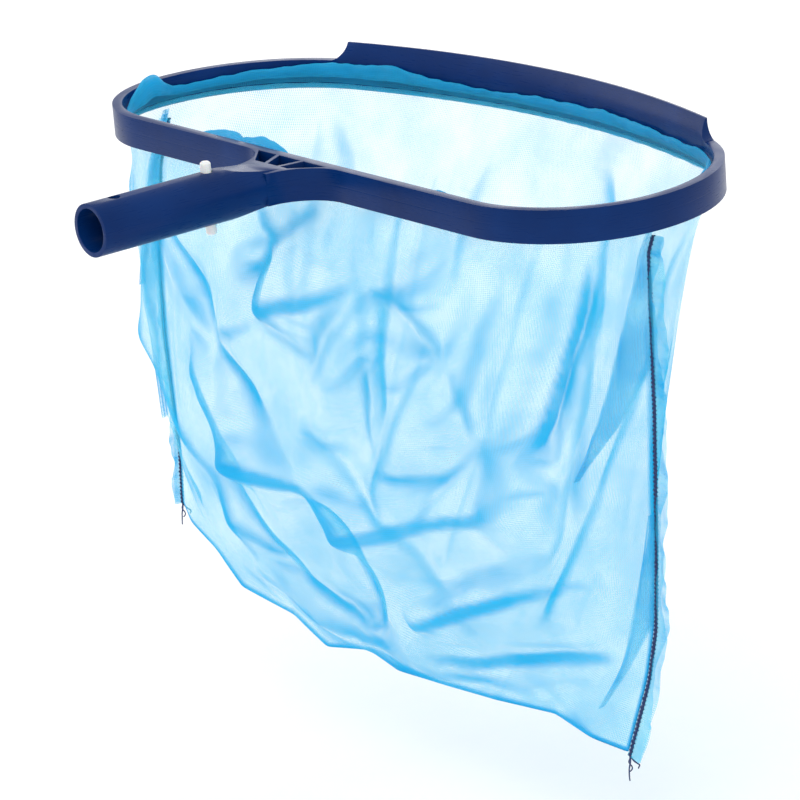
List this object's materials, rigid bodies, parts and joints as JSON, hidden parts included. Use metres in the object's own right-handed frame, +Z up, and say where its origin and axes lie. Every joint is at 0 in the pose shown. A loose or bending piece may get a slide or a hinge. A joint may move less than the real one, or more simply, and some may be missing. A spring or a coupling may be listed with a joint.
{
  "type": "leaf skimmer net",
  "caption": "Pool leaf skimmer: wide moulded hoop with a scoop lip and a handle tube that snaps into a telescopic pole, carrying a deep bag of fine mesh.",
  "frame": {"origin": "centre of the open mouth of the handle tube", "axes": "+Y along the handle tube from its mouth towards the scoop lip, +X along the hoop's long axis, +Z up, out of the bag's mouth"},
  "size_m": [0.4468, 0.313, 0.3119],
  "materials": {
    "moulded_plastic": "smooth moulded polypropylene, navy blue, satin to gloss",
    "mesh_cloth": "fine sheer woven mesh, sky blue",
    "seam_thread": "overlock thread, navy",
    "spline_cord": "soft extruded cord, pale blue",
    "clip_nylon": "natural white moulded nylon"
  },
  "bodies": {
    "frame": {"frame": "moulded_plastic", "net_spline": "spline_cord", "net_hem": "mesh_cloth", "net_bag": "mesh_cloth", "seam_allowance_left": "mesh_cloth", "seam_allowance_right": "mesh_cloth", "seam_thread_left": "seam_thread", "seam_thread_right": "seam_thread", "thread_tail_left": "seam_thread", "thread_tail_right": "seam_thread", "clip_bend": "clip_nylon", "clip_upper_arm": "clip_nylon", "clip_lower_arm": "clip_nylon"},
    "upper_pin": {"clip_upper_pin": "clip_nylon"},
    "lower_pin": {"clip_lower_pin": "clip_nylon"}
  },
  "joints": [
    {"name": "upper_pin_press", "type": "slide", "parent": "frame", "child": "upper_pin", "axis": [0, 0, -1], "range_m": [0, 0.0058], "stiffness_N_per_m": 1500, "springref_m": -0.002, "deforming": ["clip_upper_arm"]},
    {"name": "lower_pin_press", "type": "slide", "parent": "frame", "child": "lower_pin", "axis": [0, 0, 1], "range_m": [0, 0.0058], "stiffness_N_per_m": 1500, "springref_m": -0.002, "deforming": ["clip_lower_arm"]}
  ]
}
